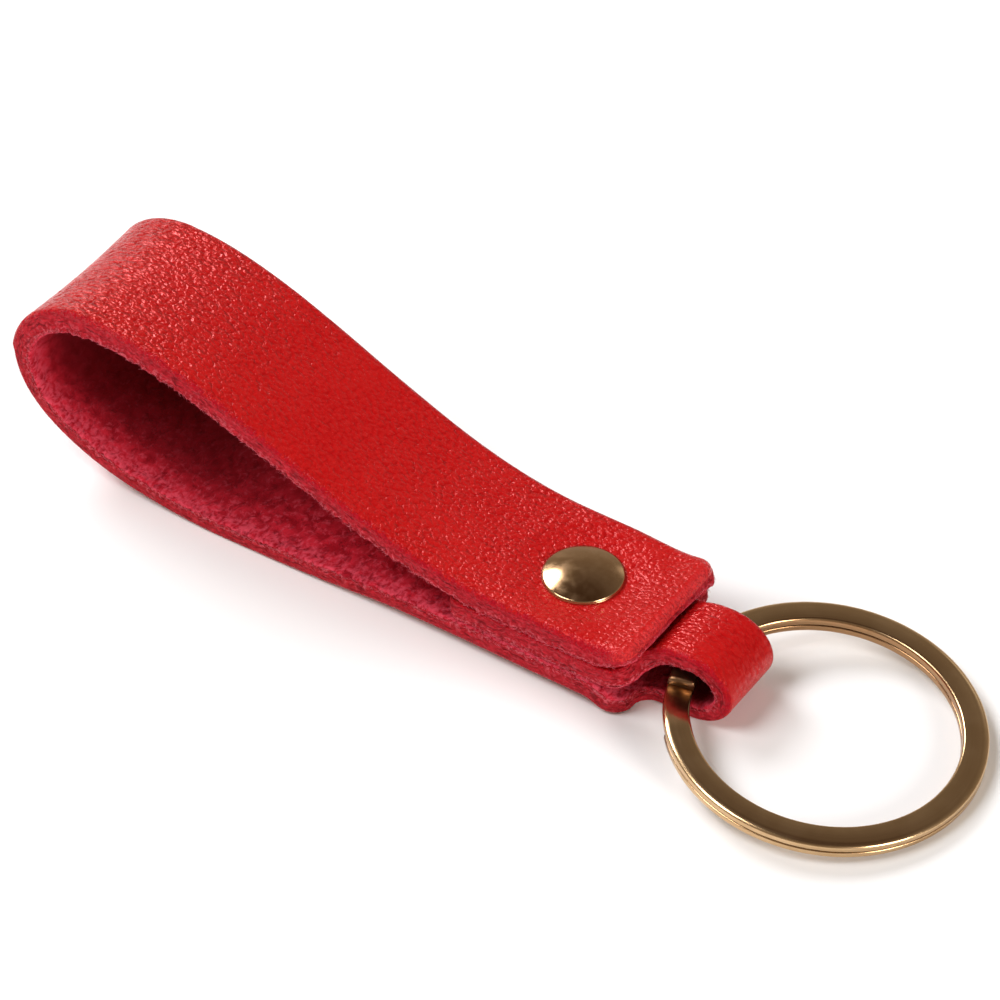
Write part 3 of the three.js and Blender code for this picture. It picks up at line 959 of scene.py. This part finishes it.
def grain_material():
    shader = Shader("leather_grain")
    flat = shader.attribute("flat", "Vector")
    rim = shader.attribute("rim")
    from_end = shader.split(flat, "X")
    fine = shader.noise(flat, 7.0, 3.0, 0.6)

    # Pebbles and short dashes, drawn out along the strap where it bends
    drawn_out = shader.remap(shader.attribute("strain"), 0.08, 0.3)
    wandering = shader.warp(flat, 1.6, 0.5)
    round_pebbles = shader.cells(shader.stretch(wandering, (0.8, 1.12, 1.0)), 2.25)
    drawn_pebbles = shader.cells(shader.stretch(wandering, (0.6, 1.2, 1.0)), 2.4)
    pebbles = shader.blend(drawn_out, round_pebbles, drawn_pebbles)
    round_dashes = shader.noise(shader.stretch(wandering, (0.85, 1.1, 1.0)), 2.6, 1.0, 0.5)
    drawn_dashes = shader.noise(shader.stretch(wandering, (0.55, 1.2, 1.0)), 2.6, 1.0, 0.5)
    dashes = shader.remap(shader.blend(drawn_out, round_dashes, drawn_dashes), 0.32, 0.68)
    grain = shader.blend(DASH_SHARE, pebbles, dashes)
    tops = shader.remap(grain, 0.25, 0.7)

    # Height, in patches, lower at the rims
    patches = shader.remap(shader.noise(flat, 0.7, 3.0, 0.6), 0.3, 0.7, 0.6, 1.0)
    relief = shader.times(patches, shader.remap(rim, 0.0, 0.4, 0.6, 1.0))
    relief = shader.times(relief, shader.attribute("relief"))
    height = shader.times(shader.math("ADD", grain, shader.times(fine, 0.08)), relief)

    # Colour, mottled, with rubbed and frayed rims, and a lighter top end that is partly an edge finish and partly
    # a painted highlight
    crease_shade, mid, light = srgb(167, 14, 16), srgb(178, 18, 19), srgb(185, 26, 25)
    end_finish_and_highlight, side_rim, frayed = srgb(212, 54, 56), srgb(174, 22, 36), srgb(146, 12, 30)
    broad = shader.noise(flat, 0.13, 2.0)
    mottle = shader.noise(flat, 2.0, 3.0, 0.65)
    # Painted shade and highlight: darker in the creases between pebbles, lighter on their tops
    colour = shader.mix(tops, crease_shade, mid)
    colour = shader.mix(shader.remap(broad, 0.4, 0.75, 0.0, 0.6), colour, light)
    colour = shader.mix(shader.remap(mottle, 0.45, 0.65, 0.0, 0.8), colour, light)
    wander = shader.math("ADD", rim, shader.remap(mottle, 0.3, 0.7, -0.25, 0.25))
    # Painted highlight: the rounded top end is lighter, partly as an edge finish, and this tone reaches further in
    # near the end
    rim_tone = shader.mix(shader.remap(from_end, 0.5, 2.5), end_finish_and_highlight, side_rim)
    rim_reach = shader.remap(from_end, 3.0, 9.0, 1.0, 0.4)
    colour = shader.mix(shader.remap(wander, 0.0, rim_reach, 1.0, 0.0), colour, rim_tone)
    fray = shader.remap(shader.noise(flat, 4.5, 2.0, 0.6), 0.45, 0.62)
    fray = shader.times(fray, shader.remap(rim, 0.15, 0.75, 1.0, 0.0))
    half_fray = shader.times(fray, 0.5)
    colour = shader.mix(half_fray, colour, frayed)
    height = shader.math("SUBTRACT", height, half_fray)

    gloss = shader.remap(tops, 0.0, 1.0, 0.25, 0.95)
    gloss = shader.times(gloss, shader.remap(rim, 0.1, 0.6, 0.3, 1.0))
    gloss = shader.times(gloss, shader.attribute("sheen"))
    return shader.surface(
        Base_Color=colour,
        Roughness=shader.remap(fine, 0.3, 0.7, 0.2, 0.28),
        Specular_IOR_Level=gloss,
        Specular_Tint=(1.0, 0.2, 0.19, 1.0),
        Subsurface_Weight=0.25,
        Subsurface_Radius=(1.0, 0.2, 0.15),
        Subsurface_Scale=SCATTER_DEPTH * MM,
        Normal=shader.bump(height, GRAIN_DEPTH),
    )


def edge_material():
    shader = Shader("leather_cut_edge")
    dark, bright = srgb(140, 11, 22), srgb(192, 36, 49)
    pale, slashed = srgb(216, 92, 104), srgb(100, 6, 16)
    moved = shader.warp(shader.attribute("flat", "Vector"), 1.1, 0.6)
    strands = shader.noise(shader.stretch(moved, (0.9, 0.9, 2.4)), 1.8, 3.0, 0.6)
    tufts = shader.noise(moved, 2.7, 3.0, 0.55)
    slashes = shader.noise(shader.stretch(moved, (0.5, 0.5, 3.0)), 1.2, 2.0, 0.5)
    colour = shader.mix(shader.remap(strands, 0.3, 0.7), dark, bright)
    pale_share = shader.remap(shader.attribute("depth"), 0.3, 1.0, 0.2, 1.0)
    pale_share = shader.times(pale_share, shader.remap(tufts, 0.48, 0.68))
    colour = shader.mix(pale_share, colour, pale)
    colour = shader.mix(shader.remap(slashes, 0.58, 0.7, 0.0, 0.6), colour, slashed)
    height = shader.math("ADD", strands, shader.times(tufts, 0.7))
    height = shader.math("SUBTRACT", height, shader.remap(slashes, 0.54, 0.7, 0.0, 0.8))
    return shader.surface(
        Base_Color=colour,
        Roughness=0.85,
        Specular_IOR_Level=0.12,
        Normal=shader.bump(height, EDGE_DEPTH),
    )


def flesh_material():
    shader = Shader("leather_flesh")
    dark, bright, rubbed = srgb(146, 10, 26), srgb(190, 32, 49), srgb(220, 80, 100)
    tufted, hollowed, sheltered = srgb(212, 72, 90), srgb(108, 4, 18), srgb(88, 2, 9)
    moved = shader.warp(shader.attribute("flat", "Vector"), 0.8, 0.8)
    laid_down = shader.remap(shader.attribute("strain"), 0.1, 0.5, 1.0, 0.25)
    clumps = shader.noise(moved, 0.8, 3.0, 0.5)
    pits = shader.noise(shader.stretch(moved, (1.0, 0.6, 1.0)), 1.5, 2.0, 0.5)
    nap = shader.noise(shader.stretch(moved, (1.0, 0.7, 1.0)), 2.3, 3.0, 0.6)
    colour = shader.mix(shader.remap(clumps, 0.32, 0.68), dark, bright)
    near_rim = shader.remap(shader.attribute("rim"), 0.4, 3.0, 0.55, 0.0)
    colour = shader.mix(shader.times(near_rim, shader.remap(nap, 0.35, 0.6)), colour, rubbed)
    tufts = shader.times(shader.remap(nap, 0.5, 0.72, 0.0, 0.7), laid_down)
    colour = shader.mix(tufts, colour, tufted)
    hollows = shader.times(shader.remap(pits, 0.56, 0.72, 0.0, 0.5), laid_down)
    colour = shader.mix(hollows, colour, hollowed)
    # Painted shade: the flesh is darker in the loop's round end and in the neck's bore
    colour = shader.mix(shader.attribute("shelter"), colour, sheltered)
    height = shader.math("ADD", clumps, shader.times(nap, 0.5))
    height = shader.math("SUBTRACT", height, shader.remap(pits, 0.5, 0.7, 0.0, 0.4))
    return shader.surface(
        Base_Color=colour,
        Roughness=0.95,
        Specular_IOR_Level=0.1,
        Normal=shader.bump(shader.times(height, laid_down), FLESH_DEPTH),
    )


def fibre_material():
    shader = Shader("leather_fibre")
    colour = shader.mix(shader.attribute("tint"), srgb(176, 36, 54), srgb(224, 122, 134))
    return shader.surface(Base_Color=colour, Roughness=0.85, Specular_IOR_Level=0.25)


def ring_material():
    shader = Shader("light_brass_plate")
    inside, end_shade_tone = srgb(150, 108, 72), srgb(104, 66, 42)
    wire = shader.attribute("wire", "Vector")
    worn = shader.attribute("worn")
    drawn = shader.noise(shader.stretch(wire, (0.05, 9.0, 9.0)), 1.0, 3.0, 0.6)
    cloud = shader.noise(wire, 0.35, 2.0)
    colour = shader.mix(shader.remap(cloud, 0.35, 0.7), srgb(200, 166, 124), srgb(210, 177, 136))
    # Painted shade: the wire's inner face, towards the ring's middle, is darker
    colour = shader.mix(shader.remap(shader.split(wire, "Y"), -1.22, -1.05, 0.7, 0.0), colour, inside)
    # Painted shade: darker towards each sawn end of the wire
    colour = shader.mix(shader.times(worn, 0.85), colour, end_shade_tone)
    rough = shader.math("ADD", shader.remap(drawn, 0.3, 0.7, 0.16, 0.26), shader.times(worn, 0.15))
    return shader.surface(
        Base_Color=colour,
        Metallic=1.0,
        Roughness=rough,
        Normal=shader.bump(drawn, RING_LINE_DEPTH, 0.35),
    )


def cap_material():
    shader = Shader("dark_brass_plate")
    at = shader.object_place()
    cloud = shader.noise(at, 900.0, 2.0)
    specks = shader.noise(at, 5200.0, 3.0, 0.6)
    colour = shader.mix(shader.remap(cloud, 0.35, 0.7), srgb(184, 147, 108), srgb(194, 158, 120))
    return shader.surface(
        Base_Color=colour,
        Metallic=1.0,
        Roughness=shader.remap(cloud, 0.3, 0.7, 0.13, 0.22),
        Normal=shader.bump(specks, CAP_SPECK_DEPTH, 0.18),
    )


def steel_material():
    shader = Shader("drawn_steel")
    lines = shader.noise(shader.stretch(shader.object_place(), (2500.0, 2500.0, 300.0)), 1.0, 3.0)
    colour = shader.mix(lines, srgb(150, 150, 148), srgb(190, 190, 186))
    rough = shader.remap(lines, 0.3, 0.7, 0.3, 0.45)
    return shader.surface(Base_Color=colour, Metallic=1.0, Roughness=rough)


def floor_material():
    shader = Shader("pale_floor")
    tone = shader.noise(shader.object_place(), 18.0, 2.0)
    colour = shader.mix(tone, srgb(240, 240, 240), srgb(244, 244, 244))
    return shader.surface(Base_Color=colour, Roughness=0.8, Specular_IOR_Level=0.1)


# The scene

def make_camera():
    data = bpy.data.cameras.new("photo_camera")
    data.lens = CAMERA_LENS
    data.sensor_width = SENSOR_WIDTH
    data.clip_start = CAMERA_NEAR
    camera = add_object("photo_camera", data)
    level = math.cos(CAMERA_ELEVATION)
    back = Vector((
        math.sin(CAMERA_AZIMUTH) * level,
        -math.cos(CAMERA_AZIMUTH) * level,
        math.sin(CAMERA_ELEVATION),
    ))
    camera.location = Vector(CAMERA_TARGET * MM) + back * CAMERA_DISTANCE * MM
    camera.rotation_euler = back.to_track_quat("Z", "Y").to_euler()
    bpy.context.scene.camera = camera


def make_floor():
    far = FLOOR_REACH
    mesh = bpy.data.meshes.new("floor")
    corners = [(-far, -far, 0.0), (far, -far, 0.0), (far, far, 0.0), (-far, far, 0.0)]
    mesh.from_pydata(corners, [], [(0, 1, 2, 3)])
    floor = add_object("floor", mesh)
    mesh.materials.append(floor_material())


def add_light(name, direction, distance, size, watts, colour):
    """A soft light aimed at the frame's origin, with its distance and size in metres."""
    data = bpy.data.lights.new(name, "AREA")
    data.shape = "ELLIPSE"
    data.size, data.size_y = size
    data.energy = watts
    data.color = colour[:3]
    light = add_object(name, data)
    towards = Vector(direction).normalized()
    light.location = towards * distance
    light.rotation_euler = towards.to_track_quat("Z", "Y").to_euler()


def make_world():
    """Dim warm surroundings, lighter towards the horizon."""
    world = bpy.data.worlds.new("studio")
    world.use_nodes = True
    tree = world.node_tree
    tree.nodes.clear()
    output = tree.nodes.new("ShaderNodeOutputWorld")
    background = tree.nodes.new("ShaderNodeBackground")
    coordinates = tree.nodes.new("ShaderNodeTexCoord")
    split = tree.nodes.new("ShaderNodeSeparateXYZ")
    ramp = tree.nodes.new("ShaderNodeValToRGB")
    tree.links.new(coordinates.outputs["Generated"], split.inputs[0])
    tree.links.new(split.outputs["Z"], ramp.inputs[0])
    tree.links.new(ramp.outputs[0], background.inputs["Color"])
    tree.links.new(background.outputs[0], output.inputs["Surface"])
    stops = [
        (0.0, (0.48, 0.44, 0.38, 1.0)),
        (0.35, (0.34, 0.29, 0.235, 1.0)),
        (0.7, (0.22, 0.185, 0.15, 1.0)),
        (1.0, (0.07, 0.042, 0.027, 1.0)),
    ]
    elements = ramp.color_ramp.elements
    elements[0].position, elements[0].color = stops[0]
    elements[1].position, elements[1].color = stops[-1]
    for position, colour in stops[1:-1]:
        made = elements.new(position)
        made.color = colour
    background.inputs["Strength"].default_value = 1.0
    bpy.context.scene.world = world


make_camera()
make_floor()
make_world()
add_light("left_softbox", (-0.74, 0.19, 0.645), 0.9, (0.5, 0.4), 6.3, srgb(252, 252, 255))
add_light("front_softbox", (-0.36, -0.44, 0.82), 1.0, (0.5, 0.5), 6.0, srgb(252, 253, 255))
add_light("side_fill", (0.95, -0.22, 0.38), 1.0, (0.4, 0.4), 6.0, srgb(255, 252, 248))
add_light("back_card", (0.02, 0.9, 0.43), 1.0, (0.25, 0.2), 0.08, srgb(255, 253, 250))
bpy.context.scene.view_settings.view_transform = "Standard"

strap, rim_line, rim_outward, rim_rise = make_strap()
for material in (grain_material(), edge_material(), flesh_material()):
    strap.data.materials.append(material)
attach(strap, "strap")
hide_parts("leather_strap")

fibres = make_fibres(rim_line, rim_outward, rim_rise)
fibres.data.materials.append(fibre_material())
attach(fibres, "strap")

cap_metal = cap_material()
cap = make_cap("rivet_cap_drawn", cap_low, cap_high, False)
back_cap = make_cap("rivet_back_cap_drawn", back_low, back_high, True)
for piece, node in ((cap, "rivet_cap"), (back_cap, "rivet_back_cap")):
    piece.data.materials.append(cap_metal)
    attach(piece, "strap")
    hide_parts(node)

steel = steel_material()
for node in ("rivet_cap_socket", "rivet_post"):
    inner = frame["nodes"][node]
    inner.data.materials.clear()
    inner.data.materials.append(steel)

ring = make_ring()
ring.data.materials.append(ring_material())
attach(ring, "ring")
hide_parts("split_ring")
